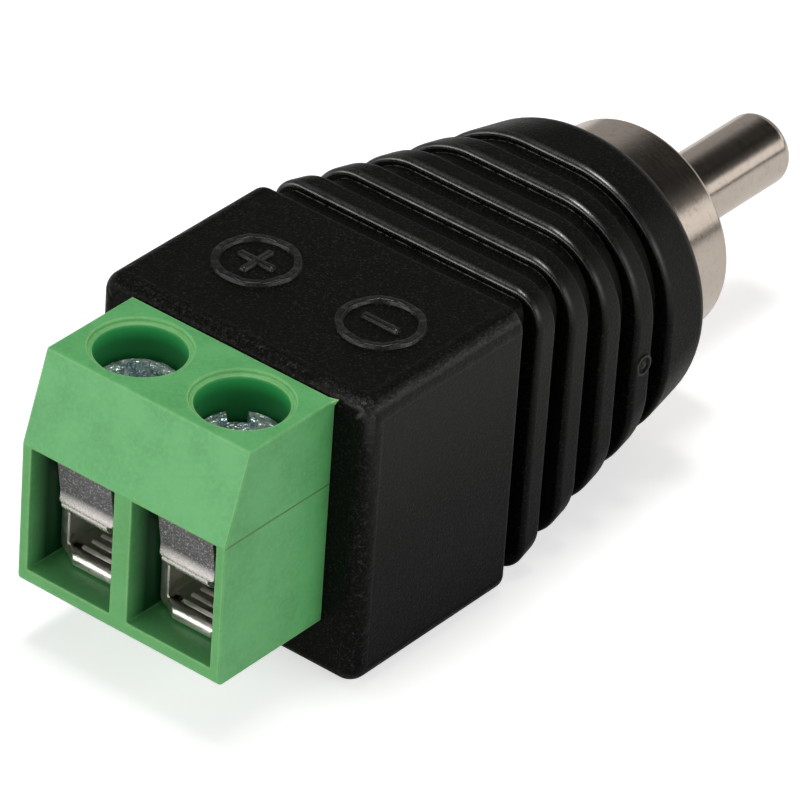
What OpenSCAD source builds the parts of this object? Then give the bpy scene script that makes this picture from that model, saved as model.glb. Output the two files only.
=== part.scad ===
// Phono plug with a two-pole screw terminal at its rear.
// X runs across the poles, Y from the terminal towards the plug's tip, and Z is up.
// The origin is on the body's underside, at the middle of its plain block.

/* [Body] */
// Width of the plain block
body_w = 13.7; // [13:0.1:16]
// Height of the plain block
body_h = 13.2; // [13:0.1:15]
// Length of the plain block
block_l = 9.45; // [8:0.05:14]
// Radius of the block's long edges
block_r = 0.9; // [0.5:0.05:1.5]
// Radius round the block's front face
front_r = 0.8; // [0.3:0.05:1]
// Number of grip grooves
groove_count = 5; // [3:1:7]
// Distance from the block to the first groove's middle
groove_start = 0.37; // [0.3:0.01:1.5]
// Distance from groove to groove
groove_pitch = 2.27; // [2:0.01:3]
// Width of a groove
groove_w = 1.1; // [0.9:0.02:1.3]
// Depth of a groove at the sides
groove_side = 0.8; // [0.5:0.05:0.9]
// Depth of a groove on top and underneath
groove_roof = 0.4; // [0.3:0.05:0.8]
// Radius of a rib's near edge
rib_near_r = 0.2; // [0.1:0.02:0.26]
// Radius of a rib's far edge
rib_far_r = 0.1; // [0.04:0.02:0.16]
// Thickness of the nose beside the collar
nose_side = 1.75; // [1.2:0.05:2]
// Thickness of the nose over and under the collar
nose_roof = 1.55; // [1.2:0.05:2]
// Corner radius of the nose's section
nose_corner_r = 6.5; // [4:0.1:6.6]
// Distance from the last groove's middle to the nose's end
nose_l = 3.42; // [3:0.02:4]
// Radius round the nose's end
nose_edge_r = 0.8; // [0.2:0.05:1]
// Width of the ledge that the collar seats on
seat_ledge = 0.7; // [0.4:0.05:0.9]

/* [Plug] */
// Outer diameter of the collar
collar_od = 9.5; // [9:0.1:9.8]
// Thickness of the collar's wall
collar_wall = 0.45; // [0.3:0.05:0.6]
// Length of the collar in front of the nose
collar_reach = 3.47; // [2:0.01:6]
// Length of the collar inside the nose
collar_grip = 2.5; // [2:0.1:2.8]
// Thickness of the collar's rear lip
lip_t = 0.45; // [0.3:0.05:0.8]
// Width of the collar's rear lip
lip_w = 0.95; // [0.7:0.05:1.2]
// Length of the collar's solder tab
tab_l = 3; // [2:0.1:4]
// Width of the collar's solder tab
tab_w = 1.8; // [1:0.1:2.4]
// Thickness of the insulator
insulator_t = 2.4; // [1.5:0.1:3.2]
// Diameter of the centre pin
pin_d = 3.2; // [3:0.05:3.3]
// Length of the pin in front of the collar
pin_reach = 8.66; // [7:0.01:10]
// Radius of the pin's tip
pin_tip_r = 0.55; // [0.3:0.05:0.75]
// Diameter of the pin's neck inside the insulator
pin_neck_d = 2.4; // [2.2:0.05:2.6]
// Length of the neck in front of the insulator
pin_neck_reach = 0.15; // [0.05:0.05:0.4]
// Width of the pin's shoulder behind the insulator
pin_shoulder_w = 0.45; // [0.3:0.05:0.7]
// Thickness of the pin's shoulder
pin_shoulder_t = 0.8; // [0.4:0.1:1.2]
// Thickness of the solder cup's wall
cup_wall = 0.58; // [0.3:0.02:0.7]
// Length of the pin's solder cup
cup_l = 2.2; // [1.5:0.1:3]

/* [Terminal block] */
// Distance from pole to pole
pole_pitch = 5.08; // [5:0.01:5.2]
// Depth of the block in front of the body
term_d = 6.16; // [6:0.02:7]
// Height of the block
term_h = 10.23; // [9.8:0.01:10.5]
// Distance from the block's underside up to the plug's axis
term_under = 4; // [3.8:0.05:4.4]
// Height of the block's upright front face
front_h = 6.44; // [6.3:0.01:7]
// Set-back of the block's top edge
slope_back = 1.23; // [0.6:0.01:1.5]
// Radius of the block's lower front edge
foot_r = 0.35; // [0.1:0.05:0.5]
// Length of the block's spigot inside the body
spigot_l = 4.2; // [3:0.1:5]
// Set-back of the spigot's sides
spigot_side = 0.5; // [0.3:0.05:0.6]
// Set-back of the spigot's underside
spigot_foot = 0.6; // [0.4:0.05:1]
// Set-back of the spigot's top
spigot_top = 1.05; // [0.8:0.05:1.5]
// Thickness of the wall between the wire pockets
pocket_rib = 0.88; // [0.6:0.02:1]
// Thickness of the floor under a wire pocket
pocket_floor = 0.72; // [0.4:0.02:0.8]
// Thickness of the edge over a wire pocket
pocket_edge = 0.04; // [0.03:0.01:0.1]
// Diameter of a screw well
well_d = 3.7; // [3.5:0.01:3.8]
// Distance from the front face to a screw well's middle
well_y = 3.72; // [3.7:0.01:4]
// Width of the step round a well's mouth
well_step = 0.175; // [0.1:0.005:0.25]
// Depth of the step round a well's mouth
well_step_t = 0.18; // [0.1:0.01:0.4]

/* [Contacts] */
// Thickness of the contact strip
strip_t = 0.5; // [0.4:0.02:0.6]
// Gap between the contact bar and a cage's side walls
bar_side = 0.38; // [0.1:0.02:0.6]
// Height of the contact bar's underside over the block's underside
bar_rise = 3.3; // [3:0.05:3.5]
// Distance from the block's front face to the contact's bend
contact_in = 0.9; // [0.7:0.02:1]
// Inner radius of the contact's bend
bend_in = 0.1; // [0.05:0.01:0.2]
// Step from the bar's edge out to the guard flange's edge
guard_step = 0.1; // [0:0.01:0.4]
// Gap between the guard flange and the roof of its pocket
guard_gap = 0.15; // [0.1:0.01:0.5]
// Forward lean of the guard flange in degrees
guard_lean = 9; // [0:1:14]
// Width of the solder tail
tail_w = 1.2; // [0.8:0.05:1.5]
// Length of the solder tail behind the spigot
tail_l = 2.4; // [1.5:0.1:3]

/* [Clamps] */
// Gap between a clamp cage and the sides of its pocket
cage_side = 0.15; // [0.05:0.01:0.25]
// Thickness of a cage's side walls
cage_wall = 0.4; // [0.3:0.02:0.5]
// Thickness of a cage's floor
cage_floor = 0.5; // [0.4:0.02:0.6]
// Thickness of a cage's threaded top
cage_top = 0.8; // [0.5:0.02:0.9]
// Length of a cage's side walls
cage_l = 3.9; // [3.4:0.05:4]
// Gap behind a cage
cage_back = 0.5; // [0.2:0.05:1]
// Radius of a cage's outer bends
cage_r = 0.5; // [0.2:0.02:0.6]
// Reach of the floor's tongue in front of the side walls
tongue_l = 0.4; // [0.1:0.05:0.6]
// Width of the tongue's front edge
tongue_w = 1.9; // [1.2:0.05:2.6]
// Number of ridges across a cage's floor
ridge_count = 3; // [1:1:5]
// Distance from ridge to ridge
ridge_pitch = 0.55; // [0.4:0.01:0.6]
// Height of a ridge
ridge_h = 0.14; // [0.05:0.01:0.2]
// Length of a ridge across the floor
ridge_w = 2; // [1:0.05:2.4]
// Outer diameter of the screw's thread
screw_d = 2.9; // [2.5:0.02:2.96]
// Gap round the screw's head
head_gap = 0.12; // [0.06:0.01:0.3]
// Height of the screw's head
head_h = 1.5; // [1:0.05:1.6]
// Depth of the screw's head below the block's top
head_sink = 1.5; // [1.2:0.05:2]
// Width of the screw's slot
slot_w = 0.84; // [0.4:0.02:1]
// Depth of the screw's slot
slot_t = 0.7; // [0.4:0.05:0.9]
// Length of the cross recess
cross_l = 2.3; // [1.6:0.05:2.8]
// Turn of the left screw's slot in degrees
slot_turn_left = 42; // [-90:1:90]
// Turn of the right screw's slot in degrees
slot_turn_right = -45; // [-90:1:90]

/* [Leads] */
// Diameter of the link leads
lead_d = 0.7; // [0.5:0.02:0.9]

/* [Clearances] */
// Gap between pieces that are pushed together
seat_gap = 0.02; // [0.01:0.005:0.03]
// Gap round the block's spigot
spigot_gap = 0.05; // [0.02:0.01:0.1]
// Gap between the screw's thread and the cage's top
thread_gap = 0.05; // [0.03:0.005:0.08]
// Gap between a cage and what it stops against
cage_gap = 0.08; // [0.05:0.01:0.1]

/* [Hidden] */
$fn = 64;
corner_steps = 10;
edge_steps = 5;
rib_steps = 4;
lead_sides = 12;
lead_steps = 8;
overrun = 1;
min_corner_r = 0.1;

// The taper runs fastest just behind the block.
taper_power = 0.53;

axis_z = body_h / 2;
body_front = -block_l / 2;
block_end = block_l / 2;
last_groove = block_end + groove_start + (groove_count - 1) * groove_pitch;
nose_end = last_groove + nose_l;

nose_w = collar_od + 2 * nose_side;
nose_h = collar_od + 2 * nose_roof;

collar_r = collar_od / 2;
collar_bore_r = collar_r - collar_wall;
chamber_d = collar_od - 2 * seat_ledge;
collar_seat = nose_end - collar_grip;
collar_rim = nose_end + collar_reach;
insulator_back = collar_seat + lip_t + seat_gap;
lip_r = collar_bore_r - lip_w;
pin_r = pin_d / 2;
tip_r = min(pin_tip_r, pin_r / 2);
pin_tip = collar_rim + pin_reach;
pin_neck_r = pin_neck_d / 2;
pin_neck_end = insulator_back + insulator_t + pin_neck_reach;
pin_shoulder_face = insulator_back - seat_gap;
pin_shoulder_back = pin_shoulder_face - pin_shoulder_t;
cup_back = pin_shoulder_back - cup_l;

term_front = body_front - term_d;
term_w = 2 * pole_pitch;
term_z = axis_z - term_under;
term_top = term_z + term_h;
spigot_end = body_front + spigot_l;
pocket_z = term_z + pocket_floor;
pocket_top = term_z + front_h - pocket_edge;
pocket_w = pole_pitch - pocket_rib;
well_axis = term_front + well_y;
pocket_end = well_axis + cage_l / 2 + cage_back;

bar_z = term_z + bar_rise;
bar_top = bar_z + strip_t;
bend_r = strip_t + bend_in;
bend_y = term_front + contact_in + bend_r;
bend_z = bar_z + bend_r;
guard_h = (pocket_top - guard_gap - bend_z) / cos(guard_lean);
tail_end = spigot_end + tail_l;

cage_w = pocket_w - 2 * cage_side;
cage_inner_w = cage_w - 2 * cage_wall;
bar_w = cage_inner_w - 2 * bar_side;
guard_w = bar_w + 2 * guard_step;

cage_z = pocket_z + cage_gap;
cage_front = well_axis - cage_l / 2;
cage_floor_top = cage_z + cage_floor;
cage_top_z = bar_top + cage_gap;
cage_height = cage_top_z + cage_top - cage_z;
ridge_start = cage_front + ridge_pitch / 2;
screw_tip = bar_top + seat_gap;
head_d = well_d - 2 * head_gap;
head_top = term_top - head_sink;
head_z = head_top - head_h;

lead_r = lead_d / 2;
tail_lead_z = bar_top + lead_r + seat_gap;
tail_lead_start = spigot_end + lead_r;
tail_lead_end = tail_end + lead_r;
tab_lead_x = lip_r - lead_r - seat_gap;
tab_lead_start = collar_seat - tab_l;
tab_lead_end = collar_seat - lead_r;
cup_depth = cup_l / 2;
cup_bore_r = lead_r + seat_gap;

// The body is hollow behind the spigot for the solder tails and the leads on them.
tail_room = tail_l + lead_d;

function pole_x(side) = side * pole_pitch / 2;

// A share of the way from the block to the nose
function way(y) = max(0, min(1, (y - block_end) / (nose_end - block_end)));

function taper(y) = pow(way(y), taper_power);

function between(a, b, share) = a + (b - a) * share;

// Half width, half height and corner radius of the body's section at y
function section_size(y) =
    let (
        half_w = between(body_w, nose_w, taper(y)) / 2,
        half_h = between(body_h, nose_h, taper(y)) / 2,
        r = between(block_r, nose_corner_r, way(y))
    )
    [half_w, half_h, min(r, half_w, half_h)];

function corner_signs(corner) = [[1, 1], [-1, 1], [-1, -1], [1, -1]][corner];

// One ring of points round a rounded rectangle, set in from the section at y by side and roof
function section_ring(y, side, roof) =
    let (size = section_size(y), r = max(size[2] - max(side, roof), min_corner_r))
    [
        for (corner = [0:3])
            for (i = [0:corner_steps])
                let (
                    sign = corner_signs(corner),
                    angle = 90 * (corner + i / corner_steps)
                )
                [
                    sign[0] * (size[0] - side - r) + r * cos(angle),
                    y,
                    axis_z + sign[1] * (size[1] - roof - r) + r * sin(angle)
                ]
    ];

// Stations along the body: y, with how far the sides and the roof are set in
function front_stations() = [
    for (i = [0:edge_steps])
        let (angle = 90 * i / edge_steps, inset = front_r * (1 - sin(angle)))
        [body_front + front_r * (1 - cos(angle)), inset, inset]
];

// A groove has the sharper far edge of the rib behind it, a flat floor and the next rib's near edge.
function groove_stations(y) = [
    for (i = [0:rib_steps])
        let (angle = 90 * i / rib_steps, inset = rib_far_r * (1 - cos(angle)))
        [y - groove_w / 2 - rib_far_r * (1 - sin(angle)), inset, inset],
    [y - groove_w / 2, groove_side, groove_roof],
    [y + groove_w / 2, groove_side, groove_roof],
    for (i = [rib_steps:-1:0])
        let (angle = 90 * i / rib_steps, inset = rib_near_r * (1 - cos(angle)))
        [y + groove_w / 2 + rib_near_r * (1 - sin(angle)), inset, inset]
];

function nose_stations() = [
    for (i = [edge_steps:-1:0])
        let (angle = 90 * i / edge_steps, inset = nose_edge_r * (1 - sin(angle)))
        [nose_end - nose_edge_r * (1 - cos(angle)), inset, inset]
];

body_stations = concat(
    front_stations(),
    [
        for (k = [0:groove_count - 1])
            each groove_stations(block_end + groove_start + k * groove_pitch)
    ],
    nose_stations()
);

// Turns a shape that stands on the XY plane to lie along +Y on the plug's axis
module along_axis(y) {
    translate([0, y, axis_z])
        rotate([-90, 0, 0])
            children();
}

// Extrudes a side profile, drawn as [y, z], across X
module across(x, width) {
    translate([x - width / 2, 0, 0])
        rotate([90, 0, 90])
            linear_extrude(width)
                children();
}

module rounded_rect(width, height, r) {
    translate([-width / 2 + r, 0])
        square([width - 2 * r, height]);
    translate([-width / 2, r])
        square([width, height - 2 * r]);
    for (x = [-width / 2 + r, width / 2 - r])
        for (y = [r, height - r])
            translate([x, y])
                circle(r);
}

// Skin over rings of points that all hold the same number of points
module skin(rings) {
    count = len(rings[0]);
    last = len(rings) - 1;
    sides = [
        for (s = [0:last - 1])
            for (i = [0:count - 1])
                let (next = (i + 1) % count)
                [s * count + i, s * count + next, (s + 1) * count + next, (s + 1) * count + i]
    ];
    front_cap = [for (i = [count - 1:-1:0]) i];
    end_cap = [for (i = [0:count - 1]) last * count + i];
    polyhedron([for (ring = rings) each ring], concat(sides, [front_cap, end_cap]), convexity = 10);
}

function lead_ring(at) = [
    for (i = [0:lead_sides - 1])
        let (angle = 360 * i / lead_sides)
        at + lead_r * [cos(angle), 0, sin(angle)]
];

// A round lead that runs straight, crosses in one S-shaped sweep and runs straight again
module lead(start, bend_start, bend_end, end) {
    sweep = [
        for (i = [0:lead_steps])
            let (share = i / lead_steps, eased = share * share * (3 - 2 * share))
            [
                between(bend_start[0], bend_end[0], eased),
                between(bend_start[1], bend_end[1], share),
                between(bend_start[2], bend_end[2], eased)
            ]
    ];
    skin([for (at = concat([start], sweep, [end])) lead_ring(at)]);
}

module body() {
    color("#1c1c1d")
        difference() {
            skin([for (s = body_stations) section_ring(s[0], s[1], s[2])]);
            spigot_block(spigot_gap, tail_room);
            along_axis(spigot_end)
                cylinder(h = collar_seat - spigot_end + overrun, d = chamber_d);
            along_axis(collar_seat)
                cylinder(h = collar_grip + overrun, r = collar_r + seat_gap);
        }
}

// The part of the terminal block that sits inside the body, or the room for it
module spigot_block(gap, room) {
    width = term_w - 2 * spigot_side + 2 * gap;
    z = term_z + spigot_foot - gap;
    top = term_top - spigot_top + gap;
    translate([-width / 2, body_front - overrun, z])
        cube([width, spigot_l + overrun + room, top - z]);
}

module terminal_profile() {
    foot = [
        for (i = [0:edge_steps])
            let (angle = 90 * i / edge_steps)
            [term_front + foot_r * (1 - sin(angle)), term_z + foot_r * (1 - cos(angle))]
    ];
    polygon(concat(
        [[body_front, term_top], [body_front, term_z]],
        foot,
        [[term_front, term_z + front_h], [term_front + slope_back, term_top]]
    ));
}

module pole_cuts(x) {
    translate([x - pocket_w / 2, term_front - overrun, pocket_z])
        cube([pocket_w, pocket_end - term_front + overrun, pocket_top - pocket_z]);
    translate([x, well_axis, pocket_z + overrun])
        cylinder(h = term_h, d = well_d);
    translate([x, well_axis, term_top - well_step_t])
        cylinder(h = overrun, d = well_d + 2 * well_step);
    translate([x - tail_w / 2 - seat_gap, pocket_end - overrun, bar_z - seat_gap])
        cube([tail_w + 2 * seat_gap, spigot_end - pocket_end + 2 * overrun, strip_t + 2 * seat_gap]);
}

module terminal_housing() {
    color("#54a866")
        difference() {
            union() {
                across(0, term_w)
                    terminal_profile();
                spigot_block(0, 0);
            }
            for (side = [-1, 1])
                pole_cuts(pole_x(side));
        }
}

// Ring sector from straight down to the foot of the guard flange, drawn as [y, z]
module bend_profile() {
    reach = 2 * bend_r;
    translate([bend_y, bend_z])
        intersection() {
            difference() {
                circle(bend_r);
                circle(bend_r - strip_t);
            }
            polygon([
                [0, 0],
                [0, -reach],
                [-reach, -reach],
                [-reach * cos(guard_lean), -reach * sin(guard_lean)]
            ]);
        }
}

module contact(side) {
    x = pole_x(side);
    color("#b9b9b6") {
        across(x, bar_w)
            bend_profile();
        translate([x, bend_y, bend_z])
            rotate([guard_lean, 0, 0])
                translate([-guard_w / 2, -bend_r, 0])
                    cube([guard_w, strip_t, guard_h]);
        translate([x - bar_w / 2, bend_y, bar_z])
            cube([bar_w, pocket_end - seat_gap - bend_y, strip_t]);
        translate([x - tail_w / 2, bend_y, bar_z])
            cube([tail_w, tail_end - bend_y, strip_t]);
    }
}

module cage_ring() {
    rotate([90, 0, 180])
        linear_extrude(cage_l)
            difference() {
                rounded_rect(cage_w, cage_height, cage_r);
                translate([-cage_inner_w / 2, cage_floor])
                    square([cage_inner_w, cage_height - cage_floor - cage_top]);
            }
}

module cage_tongue() {
    corner = (cage_inner_w - tongue_w) / 2;
    linear_extrude(cage_floor)
        polygon([
            [-tongue_w / 2, -tongue_l],
            [tongue_w / 2, -tongue_l],
            [tongue_w / 2 + corner, 0],
            [tongue_w / 2 + corner, cage_wall],
            [-tongue_w / 2 - corner, cage_wall],
            [-tongue_w / 2 - corner, 0]
        ]);
}

module cage_ridge() {
    rotate([90, 0, 90])
        linear_extrude(ridge_w, center = true)
            polygon([[-ridge_h, -ridge_h / 2], [ridge_h, -ridge_h / 2], [ridge_h, 0], [0, ridge_h], [-ridge_h, 0]]);
}

module cage(side) {
    color("#c4c4c0")
        difference() {
            translate([pole_x(side), cage_front, cage_z]) {
                cage_ring();
                cage_tongue();
                for (i = [0:ridge_count - 1])
                    translate([0, ridge_start - cage_front + i * ridge_pitch, cage_floor])
                        cage_ridge();
            }
            translate([pole_x(side), well_axis, cage_floor_top + overrun])
                cylinder(h = cage_height, d = screw_d + 2 * thread_gap);
        }
}

module screw(side, turn) {
    color("#c9ccd0")
        translate([pole_x(side), well_axis, 0])
            difference() {
                union() {
                    translate([0, 0, head_z])
                        cylinder(h = head_h, d = head_d);
                    translate([0, 0, screw_tip])
                        cylinder(h = head_z - screw_tip, d = screw_d);
                }
                translate([0, 0, head_top - slot_t])
                    rotate(turn) {
                        translate([-head_d, -slot_w / 2, 0])
                            cube([2 * head_d, slot_w, slot_t + overrun]);
                        translate([-slot_w / 2, -cross_l / 2, 0])
                            cube([slot_w, cross_l, slot_t + overrun]);
                    }
            }
}

// Half section of the collar, drawn as [radius, length from its seat]
module collar_profile() {
    length = collar_rim - collar_seat;
    translate([collar_bore_r, 0])
        square([collar_wall, length - collar_wall / 2]);
    translate([collar_bore_r + collar_wall / 2, length - collar_wall / 2])
        circle(collar_wall / 2);
    translate([lip_r, 0])
        square([collar_r - lip_r, lip_t]);
}

module collar() {
    color("#b7b1aa") {
        along_axis(collar_seat)
            rotate_extrude()
                collar_profile();
        translate([lip_r, collar_seat - tab_l, axis_z - tab_w / 2])
            cube([lip_t, tab_l + lip_t / 2, tab_w]);
    }
}

module insulator() {
    color("#e4e0d4")
        along_axis(insulator_back)
            difference() {
                cylinder(h = insulator_t, r = collar_bore_r - seat_gap);
                translate([0, 0, -overrun])
                    cylinder(h = insulator_t + 2 * overrun, r = pin_neck_r + seat_gap);
            }
}

// Half section of the pin's front, drawn as [radius, length from its shoulder]
module pin_profile() {
    length = pin_tip - pin_shoulder_back;
    neck = pin_neck_end - pin_shoulder_back;
    square([pin_r + pin_shoulder_w, pin_shoulder_t]);
    square([pin_neck_r, neck]);
    translate([0, neck]) {
        square([pin_r, length - tip_r - neck]);
        square([pin_r - tip_r, length - neck]);
    }
    translate([pin_r - tip_r, length - tip_r])
        circle(tip_r);
}

module centre_pin() {
    color("#b7b1aa")
        difference() {
            union() {
                along_axis(pin_shoulder_back)
                    rotate_extrude()
                        pin_profile();
                along_axis(cup_back)
                    cylinder(h = cup_l, r = cup_bore_r + cup_wall);
            }
            along_axis(cup_back - overrun)
                cylinder(h = cup_depth + overrun, r = cup_bore_r);
        }
}

module signal_lead() {
    x = pole_x(-1);
    color("#c8c9c6")
        lead(
            [x, tail_lead_start, tail_lead_z],
            [x, tail_lead_end, tail_lead_z],
            [0, cup_back - lead_r, axis_z],
            [0, cup_back + cup_depth - seat_gap, axis_z]
        );
}

module ground_lead() {
    x = pole_x(1);
    color("#c8c9c6")
        lead(
            [x, tail_lead_start, tail_lead_z],
            [x, tail_lead_end, tail_lead_z],
            [tab_lead_x, tab_lead_start, axis_z],
            [tab_lead_x, tab_lead_end, axis_z]
        );
}

body();
terminal_housing();
contact(-1);  // contact_left
contact(1);  // contact_right
cage(-1);  // cage_left
cage(1);  // cage_right
screw(-1, slot_turn_left);  // screw_left
screw(1, slot_turn_right);  // screw_right
collar();
insulator();
centre_pin();
signal_lead();
ground_lead();
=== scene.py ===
import math

import bmesh
import bpy
import numpy as np
from mathutils import Matrix, Vector


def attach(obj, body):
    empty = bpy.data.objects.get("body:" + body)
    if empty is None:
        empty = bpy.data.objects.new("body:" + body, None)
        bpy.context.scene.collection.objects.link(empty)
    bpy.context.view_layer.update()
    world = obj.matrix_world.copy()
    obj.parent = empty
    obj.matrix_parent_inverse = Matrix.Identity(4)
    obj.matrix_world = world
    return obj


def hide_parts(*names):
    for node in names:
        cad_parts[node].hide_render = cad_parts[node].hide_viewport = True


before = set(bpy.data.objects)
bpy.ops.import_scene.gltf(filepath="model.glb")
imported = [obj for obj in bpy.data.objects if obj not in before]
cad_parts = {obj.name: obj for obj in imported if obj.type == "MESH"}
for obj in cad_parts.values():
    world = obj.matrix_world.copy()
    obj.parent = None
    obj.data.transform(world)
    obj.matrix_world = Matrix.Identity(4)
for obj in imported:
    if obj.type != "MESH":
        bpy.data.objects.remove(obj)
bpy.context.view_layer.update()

# Sizes in millimetres and angles in degrees, the same as in the part's source
MM = 0.001
BODY_W = 13.7
BODY_H = 13.2
BLOCK_L = 9.45
BLOCK_R = 0.9
FRONT_R = 0.8
GROOVE_COUNT = 5
GROOVE_START = 0.37
GROOVE_PITCH = 2.27
GROOVE_SIDE = 0.8
GROOVE_ROOF = 0.4
GROOVE_W = 1.1
RIB_NEAR_R = 0.2
RIB_FAR_R = 0.1
NOSE_SIDE = 1.75
NOSE_ROOF = 1.55
NOSE_CORNER_R = 6.5
NOSE_L = 3.42
NOSE_EDGE_R = 0.8
TAPER_POWER = 0.53
SEAT_LEDGE = 0.7
COLLAR_R = 4.75
COLLAR_WALL = 0.45
COLLAR_REACH = 3.47
COLLAR_GRIP = 2.5
LIP_T = 0.45
LIP_W = 0.95
TAB_L = 3.0
TAB_W = 1.8
INSULATOR_T = 2.4
PIN_R = 1.6
PIN_REACH = 8.66
PIN_TIP_R = 0.55
PIN_NECK_R = 1.2
PIN_NECK_REACH = 0.15
PIN_SHOULDER_W = 0.45
PIN_SHOULDER_T = 0.8
CUP_WALL = 0.58
CUP_L = 2.2
POLE_PITCH = 5.08
TERM_D = 6.16
TERM_H = 10.23
TERM_UNDER = 4.0
FRONT_H = 6.44
SLOPE_BACK = 1.23
FOOT_R = 0.35
SPIGOT_L = 4.2
SPIGOT_SIDE = 0.5
SPIGOT_FOOT = 0.6
SPIGOT_TOP = 1.05
POCKET_RIB = 0.88
POCKET_FLOOR = 0.72
WELL_R = 1.85
WELL_Y = 3.72
WELL_STEP = 0.175
WELL_STEP_T = 0.18
STRIP_T = 0.5
BAR_SIDE = 0.38
BAR_RISE = 3.3
CONTACT_IN = 0.9
BEND_IN = 0.1
GUARD_STEP = 0.1
GUARD_GAP = 0.15
GUARD_LEAN = 9.0
TAIL_W = 1.2
TAIL_L = 2.4
CAGE_SIDE = 0.15
CAGE_WALL = 0.4
CAGE_FLOOR = 0.5
CAGE_TOP = 0.8
CAGE_L = 3.9
CAGE_R = 0.5
TONGUE_L = 0.4
TONGUE_W = 1.9
RIDGE_COUNT = 3
RIDGE_PITCH = 0.55
RIDGE_H = 0.14
RIDGE_W = 2.0
SCREW_R = 1.45
HEAD_GAP = 0.12
HEAD_H = 1.5
HEAD_SINK = 1.5
SLOT_W = 0.84
SLOT_T = 0.7
CROSS_L = 2.3
SLOT_TURNS = {"left": 42.0, "right": -45.0}
LEAD_R = 0.35
SEAT_GAP = 0.02
SPIGOT_GAP = 0.05
THREAD_GAP = 0.05
CAGE_GAP = 0.08

AXIS_Z = BODY_H / 2
BODY_FRONT = -BLOCK_L / 2
BLOCK_END = BLOCK_L / 2
LAST_GROOVE = BLOCK_END + GROOVE_START + (GROOVE_COUNT - 1) * GROOVE_PITCH
NOSE_END = LAST_GROOVE + NOSE_L
NOSE_W = 2 * (COLLAR_R + NOSE_SIDE)
NOSE_H = 2 * (COLLAR_R + NOSE_ROOF)
COLLAR_BORE_R = COLLAR_R - COLLAR_WALL
CHAMBER_R = COLLAR_R - SEAT_LEDGE
COLLAR_SEAT = NOSE_END - COLLAR_GRIP
COLLAR_RIM = NOSE_END + COLLAR_REACH
LIP_R = COLLAR_BORE_R - LIP_W
INSULATOR_BACK = COLLAR_SEAT + LIP_T + SEAT_GAP
PIN_TIP = COLLAR_RIM + PIN_REACH
PIN_SHOULDER_FACE = INSULATOR_BACK - SEAT_GAP
PIN_SHOULDER_BACK = PIN_SHOULDER_FACE - PIN_SHOULDER_T
CUP_BACK = PIN_SHOULDER_BACK - CUP_L
CUP_BORE_R = LEAD_R + SEAT_GAP
TERM_FRONT = BODY_FRONT - TERM_D
TERM_Z = AXIS_Z - TERM_UNDER
TERM_TOP = TERM_Z + TERM_H
FRONT_TOP = TERM_Z + FRONT_H
SPIGOT_END = BODY_FRONT + SPIGOT_L
TAIL_END = SPIGOT_END + TAIL_L
TAIL_ROOM = TAIL_L + 2 * LEAD_R
POCKET_Z = TERM_Z + POCKET_FLOOR
POCKET_W = POLE_PITCH - POCKET_RIB
WELL_AXIS = TERM_FRONT + WELL_Y
BAR_Z = TERM_Z + BAR_RISE
BAR_TOP = BAR_Z + STRIP_T
BEND_R = STRIP_T + BEND_IN
CAGE_W = POCKET_W - 2 * CAGE_SIDE
CAGE_INNER_W = CAGE_W - 2 * CAGE_WALL
BAR_W = CAGE_INNER_W - 2 * BAR_SIDE
GUARD_W = BAR_W + 2 * GUARD_STEP
CAGE_Z = POCKET_Z + CAGE_GAP
CAGE_FRONT = WELL_AXIS - CAGE_L / 2
CAGE_HEIGHT = BAR_TOP + CAGE_GAP + CAGE_TOP - CAGE_Z
SCREW_TIP = BAR_TOP + SEAT_GAP
HEAD_R = WELL_R - HEAD_GAP
HEAD_TOP = TERM_TOP - HEAD_SINK
HEAD_Z = HEAD_TOP - HEAD_H
SIDES = {"left": -1, "right": 1}

# Looks that only this scene sets, in millimetres
SINK = 0.05
ON_AXIS = 0.001
CUT_OVER = 1
EDGE = 0.06
ROOF_STRIP = 0.1
POCKET_BACK_T = 0.15
WELL_RIM = 0.05
WELL_RIM_R = 0.03
WELL_STEP_R = 0.04
SHEET_EDGE = 0.05
MIN_CORNER_R = 0.1
BORE_CHAMFER = 0.1
SPIGOT_HOLE_R = 0.05
MARKS_X = {"plus": -2.9, "minus": 3.33}
MARK_Y = 0.05
MARK_R = 1.75
MARK_LINE = 0.27
MARK_H = 0.16
MARK_FOOT = 0.08
MARK_EDGE_R = 0.07
MARK_BAR = 0.88
MARK_BAR_STEP = 0.012
BAR_FOOT = 0.06
BAR_SHOULDER = 0.04
BAR_CHAMFER = 0.05
RING_WAVE = 0.02
GATE_R = 0.5
GATE_SHIFT = 0.05
GATE_STEPS = (0.04, 0.14, 0.18, 0.30)
GATE_H = 0.06
GATE_DIP = 0.02
GATE_EDGE_R = 0.03
GATE_DIP_R = 0.02
GATE_NUB_R = 0.06
GATE_NUB_H = 0.07
FLASH_LEGS = (0.45, 0.35, 0.3)
FLASH_OUT = 0.26
FLASH_UP = 0.17
FLASH_GAP = 0.03
CREASE = 0.06
RIB_NEAR_L = 0.30
RIB_FAR_L = 0.22
TAIL_IN = 0.1
BAR_IN = 0.2
GUARD_GROW = 0.2
GUARD_FOOT = 0.10
GUARD_FLANK = 0.13
GUARD_CORNER = 0.2
GUARD_FULL = 0.25
GUARD_FOOT_R = 0.02
GUARD_CORNER_R = 0.03
GUARD_EDGE = 0.04
GUARD_ROW = 0.05
FLARE = 0.13
FLARE_H = 0.75
CAGE_INNER_R = 0.12
LIP_ROUND = 0.26
LIP_LIFT = 0.03
LIP_LIFT_L = 0.02
TONGUE_EDGE = 0.04
RIDGE_FOOT_R = 0.02
RIDGE_TOP_R = 0.05
RIDGE_END = 0.06
THREAD_PITCH = 0.5
THREAD_DEPTH = 0.2
THREAD_LEAD_L = 0.3
THREAD_LEAD_R = 0.15
HEAD_FOOT_R = 0.08
HEAD_RIM = 0.14
HEAD_RIM_R = 0.16
HEAD_DOME = 0.5
SLOT_CORNER_R = 0.05
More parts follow.
